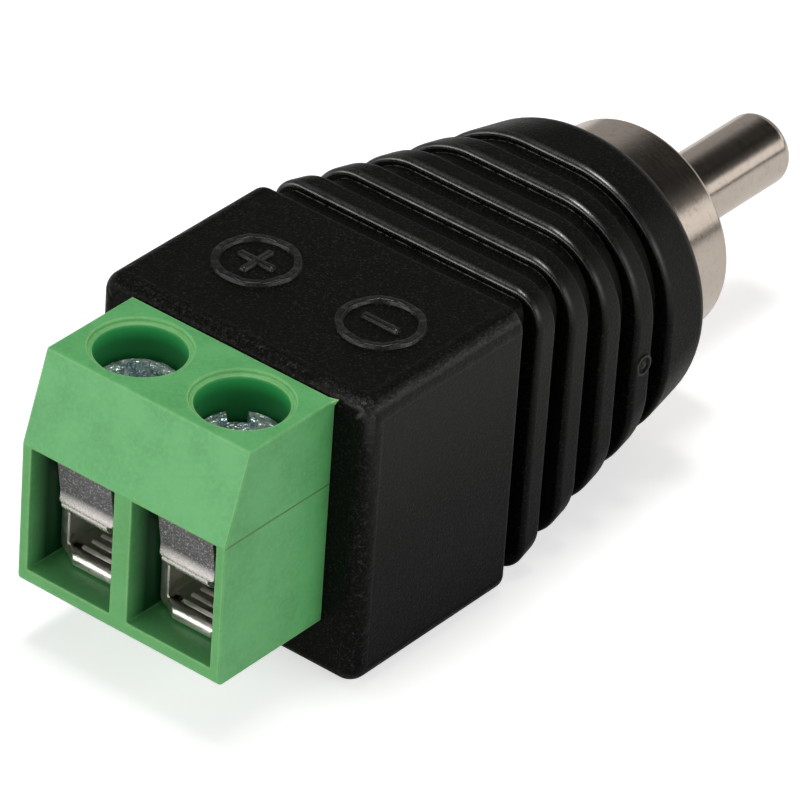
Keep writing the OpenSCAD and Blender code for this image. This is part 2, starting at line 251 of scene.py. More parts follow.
SLOT_OVER = 0.5
SLOT_SLANT = 0.03
CROSS_NARROW = 0.05
CROSS_SLANT = 0.12
SOCKET_HALF = 0.62
SOCKET_SLANT = 0.16
TOOL_OVER = 0.3
TURNED_R = 0.05
TURNED_LAND = 0.3
SHOULDER_R = 0.06
CUP_RIM_R = 0.08
NECK_R = 0.02
INSULATOR_R = 0.12
INSULATOR_LAND = 0.5

# Places of the painted light and shade, the rubbed gloss and the seam, in millimetres
SHEEN_Z = (6.0, 11.5)
SHADED_Z = (6.0, 0.5)
RUBBED_Z = (11.0, 12.4)
RUBBED_X = (3.5, 6.0)
POCKET_SKIN = (0.03, 0.01)
POCKET_SHADE_Y = 0.2
POCKET_SHADE_L = 1.1
ROOF_FADE = (0.05, 0.15)
HOLLOW_FADE = 0.1
WELL_SKIN = (0.04, 0.02)
WELL_TOP_GAP = 0.02
WELL_BOUNCE_L = 0.15
WELL_SHADE_L = 0.9
SEAM_DROP = 0.05
SEAM_LINE = (0.02, 0.045)

# Shares, angles in degrees and counts
RING_RISE = 0.25
RISE_PHASE = 1.7
MARK_POLISH = 0.22
GATE_POLISH = 0.12
GATE_PITCHES = 3.5
POLISH_POWER = 0.7
BURNISH_SHEEN_GAIN = 1.6
BAR_ROUND = 0.6
EDGE_ROUND = 0.3
RIDGE_END_RISE = 0.6
THREAD_FLANK = 2.4
SOCKET_DEPTH = 0.9
RIM_ROUND = 0.49
LIP_ANGLES = (82, 70, 58, 46, 34, 20, 0)
TURNING_LINES = (1, 26, 1)
SMOOTH_ANGLE = 32
BEVEL_ANGLE = 30
LATHE_SIDES = 128
CORNER_STEPS = 20
BEND_STEPS = 12
GUARD_ROWS = 11


# Meshes

def new_mesh(name, verts, faces):
    mesh = bpy.data.meshes.new(name)
    mesh.from_pydata([tuple(MM * c for c in v) for v in verts], [], faces)
    mesh.validate()
    shell = bmesh.new()
    shell.from_mesh(mesh)
    bmesh.ops.recalc_face_normals(shell, faces=shell.faces)
    shell.to_mesh(mesh)
    shell.free()
    return mesh


def smooth(mesh, angle):
    mesh.polygons.foreach_set("use_smooth", [True] * len(mesh.polygons))
    mesh.set_sharp_from_angle(angle=math.radians(angle))


def scene_object(name, data):
    obj = bpy.data.objects.new(name, data)
    bpy.context.scene.collection.objects.link(obj)
    return obj


def piece(name, mesh, material, body, stands_for=None, angle=SMOOTH_ANGLE):
    smooth(mesh, angle)
    obj = scene_object(name, mesh)
    obj.data.materials.clear()
    obj.data.materials.append(material)
    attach(obj, body)
    if stands_for:
        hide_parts(stands_for)
    return obj


def skin(rings, closed=False):
    """Quads over rings of equal length: an open run is capped at both ends, a closed one joins up."""
    count = len(rings[0])
    verts = [p for ring in rings for p in ring]
    faces = []
    spans = len(rings) if closed else len(rings) - 1
    for s in range(spans):
        a = s * count
        b = (s + 1) % len(rings) * count
        for i in range(count):
            j = (i + 1) % count
            faces.append((a + i, a + j, b + j, b + i))
    if not closed:
        faces.append(tuple(reversed(range(count))))
        faces.append(tuple((len(rings) - 1) * count + i for i in range(count)))
    return verts, faces


def merge(*parts):
    verts, faces = [], []
    for part_verts, part_faces in parts:
        base = len(verts)
        verts.extend(part_verts)
        faces.extend(tuple(base + i for i in f) for f in part_faces)
    return verts, faces


def rounded_path(points, steps=6):
    """Rounds the corners of an open path. Each point is (u, v, radius)."""
    out = []
    for i, (u, v, r) in enumerate(points):
        if r <= 0 or i == 0 or i == len(points) - 1:
            out.append((u, v))
            continue
        here = np.array([u, v])
        back = np.array(points[i - 1][:2]) - here
        ahead = np.array(points[i + 1][:2]) - here
        back = back / np.linalg.norm(back)
        ahead = ahead / np.linalg.norm(ahead)
        half = math.acos(max(-1.0, min(1.0, float(back @ ahead)))) / 2
        cut = r / math.tan(half)
        middle = (back + ahead) / np.linalg.norm(back + ahead) * r / math.sin(half)
        first, last = here + back * cut, here + ahead * cut
        for k in range(steps + 1):
            mix = first + (last - first) * k / steps - here - middle
            out.append(tuple(here + middle + mix / np.linalg.norm(mix) * r))
    return out


def lathe(profile, place, sides=LATHE_SIDES, closed=True):
    """Turns (radius, height) points round an axis. place maps (x, y, height) to the frame."""
    rings = []
    for r, h in profile:
        angles = [2 * math.pi * i / sides for i in range(sides)]
        rings.append([place(r * math.cos(a), r * math.sin(a), h) for a in angles])
    return skin(rings, closed)


def on_plug_axis(a, b, h):
    return (b, h, AXIS_Z + a)


def upright(x, y):
    return lambda a, b, h: (x + a, y + b, h)


def rect_ring(half_w, half_h, r, steps=CORNER_STEPS):
    """A rounded rectangle as (u, v) points, round the origin."""
    points = []
    for corner, (su, sv) in enumerate(((1, 1), (-1, 1), (-1, -1), (1, -1))):
        for i in range(steps + 1):
            angle = math.pi / 2 * (corner + i / steps)
            u = su * (half_w - r) + r * math.cos(angle)
            v = sv * (half_h - r) + r * math.sin(angle)
            points.append((u, v))
    return points


def box_mesh(low, high):
    (x0, y0, z0), (x1, y1, z1) = low, high
    rings = [[(x0, y, z0), (x1, y, z0), (x1, y, z1), (x0, y, z1)] for y in (y0, y1)]
    return skin([list(reversed(r)) for r in rings])


def with_modifiers(name, mesh, add):
    """The mesh after the modifiers that add(obj) puts on it."""
    obj = scene_object(name + "_work", mesh)
    add(obj)
    graph = bpy.context.evaluated_depsgraph_get()
    made = bpy.data.meshes.new_from_object(obj.evaluated_get(graph))
    made.name = name
    bpy.data.objects.remove(obj)
    return made


def cut(name, mesh, tool_verts, tool_faces):
    tool = scene_object(name + "_tool", new_mesh(name + "_tool", tool_verts, tool_faces))

    def add(obj):
        mod = obj.modifiers.new("cut", "BOOLEAN")
        mod.operation = "DIFFERENCE"
        mod.solver = "EXACT"
        mod.object = tool

    made = with_modifiers(name, mesh, add)
    bpy.data.objects.remove(tool)
    return made


def bevelled(name, mesh, width, segments=3):
    def add(obj):
        mod = obj.modifiers.new("edges", "BEVEL")
        mod.width = width * MM
        mod.segments = segments
        mod.limit_method = "ANGLE"
        mod.angle_limit = math.radians(BEVEL_ANGLE)
        mod.use_clamp_overlap = True

    return with_modifiers(name, mesh, add)


def weigh_normals(obj):
    mod = obj.modifiers.new("normals", "WEIGHTED_NORMAL")
    mod.keep_sharp = True
    mod.weight = 100


def point_attribute(mesh, name, values):
    attribute = mesh.attributes.new(name, "FLOAT", "POINT")
    attribute.data.foreach_set("value", np.asarray(values, np.float32))


# Colours, linear

BLACK_DEEP = (0.0024, 0.0024, 0.0022, 1)
BLACK_PALE = (0.0042, 0.0042, 0.0038, 1)
BLACK_PAINTED_SHEEN = (0.016, 0.016, 0.0145, 1)
BLACK_SHADED = (0.001, 0.001, 0.001, 1)
BLACK_SPECK = (0.05, 0.05, 0.047, 1)
BLACK_SCUFF = (0.12, 0.12, 0.115, 1)
BLACK_FLASH_GLINT = (0.28, 0.28, 0.26, 1)
GREEN_DEEP = (0.086, 0.360, 0.112, 1)
GREEN_PALE = (0.114, 0.428, 0.144, 1)
GREEN_MOTTLE = (0.140, 0.465, 0.162, 1)
GREEN_FRONT_PAINTED_LIGHT = (0.115, 0.34, 0.09, 1)
GREEN_WEAR_AND_SHEEN = (0.36, 0.62, 0.24, 1)
GREEN_WELL_BOUNCE = (0.022, 0.40, 0.10, 1)
GREEN_SHADED = (0.004, 0.045, 0.013, 1)
GREEN_SEAM = (0.09, 0.16, 0.03, 1)
GREEN_SCATTER = (0.4, 1.0, 0.5)
TIN_DARK = (0.10, 0.096, 0.10, 1)
TIN_PALE = (0.18, 0.173, 0.178, 1)
TIN_PAINTED_GLINT = (0.72, 0.71, 0.72, 1)
TIN_BURNISHED_SHEEN = (0.82, 0.77, 0.74, 1)
CLAMP_WARM = (0.82, 0.75, 0.68, 1)
CLAMP_PALE = (0.95, 0.92, 0.88, 1)
ZINC_DARK = (0.34, 0.45, 0.47, 1)
ZINC_PALE = (0.92, 0.97, 0.98, 1)
NICKEL_DARK = (0.55, 0.475, 0.405, 1)
NICKEL_PALE = (0.67, 0.585, 0.505, 1)
NICKEL_LINE = (0.70, 0.63, 0.56, 1)
NICKEL_PIT = (0.34, 0.30, 0.26, 1)
IVORY_DARK = (0.70, 0.67, 0.60, 1)
IVORY_PALE = (0.80, 0.78, 0.72, 1)
WIRE_DARK = (0.55, 0.54, 0.51, 1)
WIRE_PALE = (0.70, 0.69, 0.66, 1)


# Materials

# Sockets of a Mix node that mixes colours
MIX_SHARE = 0
MIX_A = 6
MIX_B = 7
MIX_COLOR = 2


class Nodes:
    """A short way to write the nodes of a material or of the world."""

    def __init__(self, owner, output="ShaderNodeOutputMaterial"):
        owner.use_nodes = True
        self.owner = owner
        self.tree = owner.node_tree
        self.tree.nodes.clear()
        self.out = self.tree.nodes.new(output)

    def add(self, kind, inputs=None, **settings):
        node = self.tree.nodes.new(kind)
        for key, value in settings.items():
            setattr(node, key, value)
        for key, value in (inputs or {}).items():
            self.put(node.inputs[key], value)
        return node

    def put(self, socket, value):
        if isinstance(value, bpy.types.NodeSocket):
            self.tree.links.new(value, socket)
        else:
            socket.default_value = value

    def place(self, scale=(1, 1, 1)):
        coords = self.add("ShaderNodeTexCoord")
        mapping = self.add("ShaderNodeMapping", {"Vector": coords.outputs["Object"], "Scale": scale})
        return mapping.outputs["Vector"]

    def axes(self, vector):
        split = self.add("ShaderNodeSeparateXYZ", {"Vector": vector})
        return [split.outputs[axis] for axis in "XYZ"]

    def point_axes(self):
        return self.axes(self.add("ShaderNodeTexCoord").outputs["Object"])

    def normal_axes(self):
        return self.axes(self.add("ShaderNodeNewGeometry").outputs["Normal"])

    def noise(self, scale, detail=2.0, rough=0.5, vector=None):
        """Noise with about as many waves to a metre as the scale says."""
        inputs = {"Scale": scale, "Detail": detail, "Roughness": rough}
        inputs["Vector"] = self.place() if vector is None else vector
        return self.add("ShaderNodeTexNoise", inputs).outputs["Fac"]

    def ramp(self, value, low, high, to_low=0.0, to_high=1.0):
        inputs = {"Value": value, "From Min": low, "From Max": high, "To Min": to_low, "To Max": to_high}
        return self.add("ShaderNodeMapRange", inputs).outputs["Result"]

    def ramp_mm(self, value, low, high, to_low=0.0, to_high=1.0):
        """A ramp over a coordinate, between two places in millimetres."""
        return self.ramp(value, low * MM, high * MM, to_low, to_high)

    def math(self, operation, a, b=0.0):
        node = self.add("ShaderNodeMath", operation=operation)
        self.put(node.inputs[0], a)
        self.put(node.inputs[1], b)
        return node.outputs[0]

    def times(self, value, *others):
        for other in others:
            value = self.math("MULTIPLY", value, other)
        return value

    def off(self, value, place):
        """How far a coordinate is from a place in millimetres."""
        return self.math("ABSOLUTE", self.math("SUBTRACT", value, place * MM))

    def mix(self, share, a, b):
        node = self.add("ShaderNodeMix", data_type="RGBA")
        self.put(node.inputs[MIX_SHARE], share)
        self.put(node.inputs[MIX_A], a)
        self.put(node.inputs[MIX_B], b)
        return node.outputs[MIX_COLOR]

    def bump(self, height, distance, strength=1.0, normal=None):
        inputs = {"Height": height, "Distance": distance * MM, "Strength": strength}
        if normal is not None:
            inputs["Normal"] = normal
        return self.add("ShaderNodeBump", inputs).outputs["Normal"]

    def attribute(self, name):
        return self.add("ShaderNodeAttribute", attribute_name=name).outputs["Fac"]

    def edges(self, radius, low, high):
        """1 on edges sharper than the radius, 0 on flat faces."""
        bevel = self.add("ShaderNodeBevel", {"Radius": radius * MM}, samples=8)
        geometry = self.add("ShaderNodeNewGeometry")
        dot = self.add("ShaderNodeVectorMath", operation="DOT_PRODUCT")
        self.put(dot.inputs[0], bevel.outputs["Normal"])
        self.put(dot.inputs[1], geometry.outputs["Normal"])
        return self.ramp(dot.outputs["Value"], high, low)

    def surface(self, **inputs):
        names = {"color": "Base Color", "rough": "Roughness", "metal": "Metallic", "normal": "Normal"}
        names.update({"specular": "Specular IOR Level", "subsurface": "Subsurface Weight"})
        names.update({"radius": "Subsurface Radius", "reach": "Subsurface Scale"})
        shader = self.add("ShaderNodeBsdfPrincipled")
        for key, value in inputs.items():
            self.put(shader.inputs[names[key]], value)
        return self.finish(shader)

    def finish(self, shader):
        self.tree.links.new(shader.outputs[0], self.out.inputs["Surface"])
        return self.owner


def material_nodes(name):
    return Nodes(bpy.data.materials.new(name))


def black_moulding():
    n = material_nodes("black_moulding")
    edge = n.attribute("edge")
    crease = n.attribute("crease")
    polish = n.times(n.attribute("polish"), n.ramp(n.noise(1100, 3.0, 0.6), 0.35, 0.65, 0.6, 1.15))
    x, _, z = n.point_axes()
    on_right = n.ramp(n.normal_axes()[0], 0.6, 0.9)
    grain = n.noise(9000, 3.0, 0.6)
    speck = n.ramp(n.noise(12000, 2.0, 0.6), 0.56, 0.72)
    patch = n.noise(900, 3.0)
    scuff = n.times(edge, n.ramp(n.noise(5200, 5.0, 0.75), 0.56, 0.70))
    # Mould flash along each groove's crease, drawn light grey as a painted highlight on its edge
    flash = n.times(n.ramp(crease, 0.3, 0.8), n.ramp(n.noise(3600, 4.0, 0.8), 0.40, 0.60))
    color = n.mix(patch, BLACK_DEEP, BLACK_PALE)
    # Painted reflection and shade on faces that look to the right: lighter towards the top, darker towards
    # the bottom
    wear_and_sheen = n.times(on_right, n.ramp_mm(z, *SHEEN_Z))
    color = n.mix(wear_and_sheen, color, BLACK_PAINTED_SHEEN)
    shaded = n.times(on_right, n.ramp_mm(z, *SHADED_Z))
    color = n.mix(shaded, color, BLACK_SHADED)
    color = n.mix(n.times(speck, 0.45), color, BLACK_SPECK)
    color = n.mix(n.times(scuff, 0.35), color, BLACK_SCUFF)
    color = n.mix(n.times(flash, 0.8), color, BLACK_FLASH_GLINT)
    rough = n.ramp(grain, 0.3, 0.7, 0.28, 0.42)
    rough = n.math("SUBTRACT", rough, n.times(polish, 0.06))
    rubbed = n.times(n.ramp_mm(z, *RUBBED_Z), n.ramp_mm(x, *RUBBED_X))
    ridge = n.times(n.ramp(edge, 0.80, 0.98), rubbed)
    gloss = n.math("MAXIMUM", polish, n.ramp(ridge, 0.0, 1.0, 0.0, 0.16))
    specular = n.ramp(gloss, 0.0, 1.0, 0.05, 1.6)
    relief = n.times(grain, n.ramp(polish, 0.0, 0.5, 1.0, 0.2))
    normal = n.bump(relief, 0.03, 0.6)
    normal = n.bump(n.times(n.noise(1800, 4.0, 0.6), edge), 0.22, 0.7, normal)
    return n.surface(color=color, rough=rough, normal=normal, specular=specular)


def green_moulding():
    n = material_nodes("green_moulding")
    x, y, z = n.point_axes()
    normal_x, normal_y, _ = n.normal_axes()
    edge = n.edges(0.14, 0.94, 0.998)
    patch = n.noise(700, 3.0)
    mottle = n.noise(5200, 3.0, 0.6)
    color = n.mix(n.ramp(patch, 0.35, 0.65), GREEN_DEEP, GREEN_PALE)
    color = n.mix(n.ramp(mottle, 0.40, 0.70, 0.0, 0.6), color, GREEN_MOTTLE)
    # Painted light: faces that look to the front get a warmer, duller green
    to_front = n.ramp(normal_y, -0.95, -0.99)
    color = n.mix(n.times(to_front, 0.4), color, GREEN_FRONT_PAINTED_LIGHT)
    # Lighter edges: partly wear, partly a painted highlight
    wear_and_sheen = n.times(edge, n.ramp(n.noise(1700, 4.0, 0.7), 0.35, 0.65, 0.35, 0.85))
    color = n.mix(wear_and_sheen, color, GREEN_WEAR_AND_SHEEN)
    off_pole = n.off(n.math("ABSOLUTE", x), POLE_PITCH / 2)
    in_pocket = n.times(
        n.ramp_mm(off_pole, *(POCKET_W / 2 + skin_t for skin_t in POCKET_SKIN)),
        n.ramp_mm(y, TERM_FRONT + POCKET_SHADE_Y, TERM_FRONT + POCKET_SHADE_L),
        n.ramp_mm(z, *(FRONT_TOP - fade for fade in ROOF_FADE)),
        n.ramp_mm(z, POCKET_Z - HOLLOW_FADE, POCKET_Z),
    )
    off_axis = n.off(y, WELL_AXIS)
    off_well = n.math("SQRT", n.math("ADD", n.times(off_pole, off_pole), n.times(off_axis, off_axis)))
    well_wall = n.times(
        n.ramp_mm(off_well, *(WELL_R + skin_t for skin_t in WELL_SKIN)),
        n.ramp_mm(z, FRONT_TOP - HOLLOW_FADE, FRONT_TOP),
    )
    well_top = TERM_TOP - WELL_STEP_T - WELL_TOP_GAP
    # Painted bounce light: each well's wall takes a more saturated green below the step
    well_bounce_tint = n.times(well_wall, n.ramp_mm(z, well_top, well_top - WELL_BOUNCE_L, 0.0, 0.85))
    color = n.mix(well_bounce_tint, color, GREEN_WELL_BOUNCE)
    in_well = n.times(well_wall, n.ramp_mm(z, well_top, TERM_TOP - WELL_SHADE_L))
    on_side = n.ramp(n.math("ABSOLUTE", normal_x), 0.7, 0.9)
    pocket_shade = n.times(in_pocket, n.ramp(on_side, 0.0, 1.0, 0.25, 0.95))
    shade = n.math("MAXIMUM", pocket_shade, n.times(in_well, 0.55))
    color = n.mix(shade, color, GREEN_SHADED)
    specular = n.ramp(n.math("MAXIMUM", shade, well_bounce_tint), 0.4, 0.9, 0.5, 0.1)
    off_seam = n.off(z, FRONT_TOP - SEAM_DROP)
    seam = n.times(n.ramp_mm(off_seam, *SEAM_LINE, 1.0, 0.0), on_side)
    color = n.mix(n.times(seam, 0.75), color, GREEN_SEAM)
    normal = n.bump(n.noise(7000, 3.0), 0.004, 0.5)
    normal = n.bump(seam, -0.03, 0.8, normal)
    return n.surface(
        color=color, rough=0.40, normal=normal, specular=specular,
        subsurface=0.06, radius=GREEN_SCATTER, reach=0.2 * MM,
    )


def tinned_strip():
    n = material_nodes("tinned_strip")
    burnish_and_sheen = n.attribute("burnish_and_sheen")
    flake = n.add("ShaderNodeTexVoronoi", {"Vector": n.place(), "Scale": 14000.0}).outputs["Color"]
    flakes = n.add("ShaderNodeSeparateColor", {"Color": flake}).outputs[0]
    speck = n.ramp(n.noise(13000, 2.0, 0.7), 0.52, 0.72)
    color = n.mix(n.noise(2500, 3.0), TIN_DARK, TIN_PALE)
    # Painted glints: small bright specks on the tin
    color = n.mix(n.times(speck, 0.7), color, TIN_PAINTED_GLINT)
    # A burnished bend whose lighter colour is partly a painted highlight
    color = n.mix(burnish_and_sheen, color, TIN_BURNISHED_SHEEN)
    rough = n.ramp(flakes, 0.0, 1.0, 0.36, 0.58)
    rough = n.math("SUBTRACT", rough, n.times(burnish_and_sheen, 0.2))
    normal = n.bump(n.noise(11000, 3.0, 0.7), 0.03, 0.8)
    return n.surface(color=color, rough=rough, metal=1.0, normal=normal)


def clamp_metal():
    n = material_nodes("clamp_metal")
    color = n.mix(n.noise(2200, 3.0), CLAMP_WARM, CLAMP_PALE)
    rough = n.ramp(n.noise(4000, 3.0), 0.3, 0.7, 0.26, 0.44)
    normal = n.bump(n.noise(3000, 3.0, 0.6), 0.03, 0.7)
    return n.surface(color=color, rough=rough, metal=1.0, normal=normal)


def plated_screw():
    n = material_nodes("plated_screw")
    tone = n.ramp(n.noise(1500, 3.0, 0.6), 0.42, 0.60)
    color = n.mix(tone, ZINC_DARK, ZINC_PALE)
    rough = n.ramp(n.noise(2600, 3.0), 0.4, 0.6, 0.12, 0.46)
    normal = n.bump(n.noise(1600, 3.0, 0.6), 0.45, 1.0)
    return n.surface(color=color, rough=rough, metal=0.7, normal=normal)


def plug_metal():
    n = material_nodes("plug_metal")
    lines = n.noise(900, 4.0, 0.7, n.place(TURNING_LINES))
    cloud = n.noise(420, 4.0, 0.6)
    pits = n.ramp(n.noise(3600, 4.0, 0.7), 0.52, 0.70)
    color = n.mix(cloud, NICKEL_DARK, NICKEL_PALE)
    color = n.mix(n.ramp(lines, 0.35, 0.7, 0.0, 0.3), color, NICKEL_LINE)
    color = n.mix(n.times(pits, 0.35), color, NICKEL_PIT)
    rough = n.ramp(lines, 0.3, 0.7, 0.13, 0.23)
    normal = n.bump(lines, 0.004, 0.4)
    normal = n.bump(n.noise(5000, 3.0), 0.006, 0.4, normal)
    return n.surface(color=color, rough=rough, metal=1.0, normal=normal)


def insulator_plastic():
    n = material_nodes("insulator_plastic")
    color = n.mix(n.noise(900, 3.0), IVORY_DARK, IVORY_PALE)
    normal = n.bump(n.noise(6000, 3.0), 0.006, 0.5)
    return n.surface(color=color, rough=0.5, normal=normal)


def lead_wire():
    n = material_nodes("lead_wire")
    color = n.mix(n.noise(2600, 3.0), WIRE_DARK, WIRE_PALE)
    return n.surface(color=color, rough=0.35, metal=1.0)


BLACK = black_moulding()
GREEN = green_moulding()
TIN = tinned_strip()
CLAMP = clamp_metal()
ZINC = plated_screw()
NICKEL = plug_metal()
IVORY = insulator_plastic()
WIRE = lead_wire()


# Body

def way(y):
    """The share of the way from the block to the nose."""
    return max(0.0, min(1.0, (y - BLOCK_END) / (NOSE_END - BLOCK_END)))


def between(a, b, share):
    return a + (b - a) * share


def section_ring(y, side, roof):
    taper = way(y) ** TAPER_POWER
    half_w = between(BODY_W, NOSE_W, taper) / 2
    half_h = between(BODY_H, NOSE_H, taper) / 2
    r = max(min(between(BLOCK_R, NOSE_CORNER_R, way(y)), half_w, half_h) - side, MIN_CORNER_R)
    ring = rect_ring(half_w - side, half_h - roof, r)
    return [(u, y, AXIS_Z + v) for u, v in ring]


def quarter(steps):
    """Angles from 0 to a right angle."""
    return [math.pi / 2 * i / steps for i in range(steps + 1)]


def body_stations():
    """Stations along the outside as (y, side inset, roof inset, shares of edge, crease and polish)."""
    stations = []
    for a in quarter(12):
        y = BODY_FRONT + FRONT_R * (1 - math.cos(a))
        inset = FRONT_R * (1 - math.sin(a))
        stations.append((y, inset, inset, math.sin(2 * a), 0, 0))
    for k in range(GROOVE_COUNT):
        y = BLOCK_END + GROOVE_START + k * GROOVE_PITCH
        near, far = y - GROOVE_W / 2, y + GROOVE_W / 2
        for a in quarter(6):
            inset = RIB_FAR_R * (1 - math.cos(a))
            stations.append((near - RIB_FAR_L * (1 - math.sin(a)), inset, inset, 0, 0, 0))
        stations.append((near, GROOVE_SIDE, GROOVE_ROOF, 0, 0, 0))
        stations.append((far - CREASE, GROOVE_SIDE, GROOVE_ROOF, 0, 0, 0))
        stations.append((far, GROOVE_SIDE, GROOVE_ROOF, 0, 1, 0))
        stations.append((far, GROOVE_SIDE - CREASE, GROOVE_ROOF - CREASE, 0, 0, 0))
        stations.append((far, RIB_NEAR_R + CREASE, RIB_NEAR_R + CREASE, 0, 0, 0))
        for a in reversed(quarter(10)):
            inset = RIB_NEAR_R * (1 - math.cos(a))
            y = far + RIB_NEAR_L * (1 - math.sin(a))
            stations.append((y, inset, inset, 0, 0, math.sin(a) ** POLISH_POWER))
    for a in reversed(quarter(9)):
        y = NOSE_END - NOSE_EDGE_R * (1 - math.cos(a))
        inset = NOSE_EDGE_R * (1 - math.sin(a))
        stations.append((y, inset, inset, 0, 0, 0))
    return stations


def disc_ring(y, r):
    return [(u, y, AXIS_Z + v) for u, v in rect_ring(r, r, r)]


def build_body():
    rings, edge, crease, polish = [], [], [], []
    arc = [math.sin(math.pi * i / CORNER_STEPS) for i in range(CORNER_STEPS + 1)] * 4
    climb = [i / CORNER_STEPS for i in range(CORNER_STEPS + 1)]
    on_roof = climb + climb[::-1] + [0.0] * (2 * len(climb))
    for y, side, roof, front_edge, in_crease, near_edge in body_stations():
        rings.append(section_ring(y, side, roof))
        crease.extend(in_crease * share for share in on_roof)
        polish.extend(near_edge * share for share in on_roof)
        on_block = 1.0 if BODY_FRONT < y < BLOCK_END else 0.0
        edge.extend(max(front_edge, on_block * a) for a in arc)
    bore = COLLAR_R + SEAT_GAP
    for y, r in (
        (NOSE_END, bore + BORE_CHAMFER), (NOSE_END - BORE_CHAMFER, bore), (COLLAR_SEAT, bore),
        (COLLAR_SEAT, CHAMBER_R), (SPIGOT_END + TAIL_ROOM, CHAMBER_R),
    ):
        rings.append(disc_ring(y, r))
    half_w = POLE_PITCH - SPIGOT_SIDE + SPIGOT_GAP
    low = TERM_Z + SPIGOT_FOOT - SPIGOT_GAP
    high = TERM_TOP - SPIGOT_TOP + SPIGOT_GAP
    for y in (SPIGOT_END + TAIL_ROOM, BODY_FRONT):
        ring = rect_ring(half_w, (high - low) / 2, SPIGOT_HOLE_R)
        rings.append([(u, y, (low + high) / 2 + v) for u, v in ring])
    verts, faces = skin(rings, closed=True)
    mesh = new_mesh("body_moulding", verts, [tuple(reversed(f)) for f in faces])
    inside = [0.0] * (len(verts) - len(edge))
    point_attribute(mesh, "edge", edge + inside)
    point_attribute(mesh, "crease", crease + inside)
    point_attribute(mesh, "polish", polish + inside)
    obj = piece("body_moulding", mesh, BLACK, "housing", "body", angle=40)
    weigh_normals(obj)


def bar_part(x, y, half_x, half_y, height):
    """A raised bar on the body's top, with rounded sides."""
    rings = []
    for grow, rise in (
        (BAR_FOOT, -SINK), (BAR_FOOT / 2, BAR_FOOT / 2),
        (0.0, height - BAR_SHOULDER), (-BAR_CHAMFER, height),
    ):
        ring = rect_ring(half_x + grow, half_y + grow, min(half_x, half_y) * BAR_ROUND, 5)
        rings.append([(x + u, y + v, BODY_H + rise) for u, v in ring])
    return skin(rings)


def wobble(angle, phase):
    """An uneven wave round a circle, between about -1 and 1."""
    waves = ((5, 0.5, 1), (11, 0.3, 2), (23, 0.2, 3))
    return sum(size * math.sin(count * angle + turn * phase) for count, size, turn in waves)


def ring_part(x, y, phase):
    """A raised ring that is a little uneven, as moulded."""
    profile = rounded_path([
        (MARK_R + MARK_FOOT, -SINK, 0), (MARK_R, MARK_H, MARK_EDGE_R),
        (MARK_R - MARK_LINE, MARK_H, MARK_EDGE_R), (MARK_R - MARK_LINE - MARK_FOOT, -SINK, 0),
    ], 4)
    sides = 120
    rings = []
    for r, h in profile:
        ring = []
        for i in range(sides):
            a = 2 * math.pi * i / sides
            out = r + RING_WAVE * wobble(a, phase)
            rise = h * (1 + RING_RISE * wobble(a, phase + RISE_PHASE)) if h > 0 else h
            ring.append((x + out * math.cos(a), y + out * math.sin(a), BODY_H + rise))
        rings.append(ring)
    return skin(rings, closed=True)


def build_marks():
    half = MARK_LINE / 2
    for phase, (name, x) in enumerate(MARKS_X.items()):
        parts = [ring_part(x, MARK_Y, 1.0 + phase), bar_part(x, MARK_Y, MARK_BAR, half, MARK_H)]
        if name == "plus":
            parts.append(bar_part(x, MARK_Y, half, MARK_BAR, MARK_H - MARK_BAR_STEP))
        mesh = new_mesh("mark_" + name, *merge(*parts))
        point_attribute(mesh, "polish", [MARK_POLISH] * len(mesh.vertices))
        piece("mark_" + name, mesh, BLACK, "housing")


def build_gate_mark():
    """The small round scar that the mould's gate left on the side of a rib."""
    y = BLOCK_END + GROOVE_START + GATE_PITCHES * GROOVE_PITCH + GATE_SHIFT
    x = between(BODY_W, NOSE_W, way(y) ** TAPER_POWER) / 2
    rim_out, rim_in, dip_out, dip_in = (GATE_R - step for step in GATE_STEPS)
    profile = rounded_path([
        (GATE_R, -GATE_H, 0), (rim_out, GATE_H, GATE_EDGE_R), (rim_in, GATE_H, GATE_EDGE_R),
        (dip_out, -GATE_DIP, GATE_DIP_R), (dip_in, -GATE_DIP, GATE_DIP_R),
        (GATE_NUB_R, GATE_NUB_H, GATE_EDGE_R), (ON_AXIS, GATE_NUB_H, 0),
    ], 3)
    verts, faces = lathe(profile, lambda a, b, h: (x + h, y + a, AXIS_Z + b), 40, closed=False)
    mesh = new_mesh("gate_mark", verts, faces)
    point_attribute(mesh, "polish", [GATE_POLISH] * len(mesh.vertices))
    piece("gate_mark", mesh, BLACK, "housing")


# Terminal block

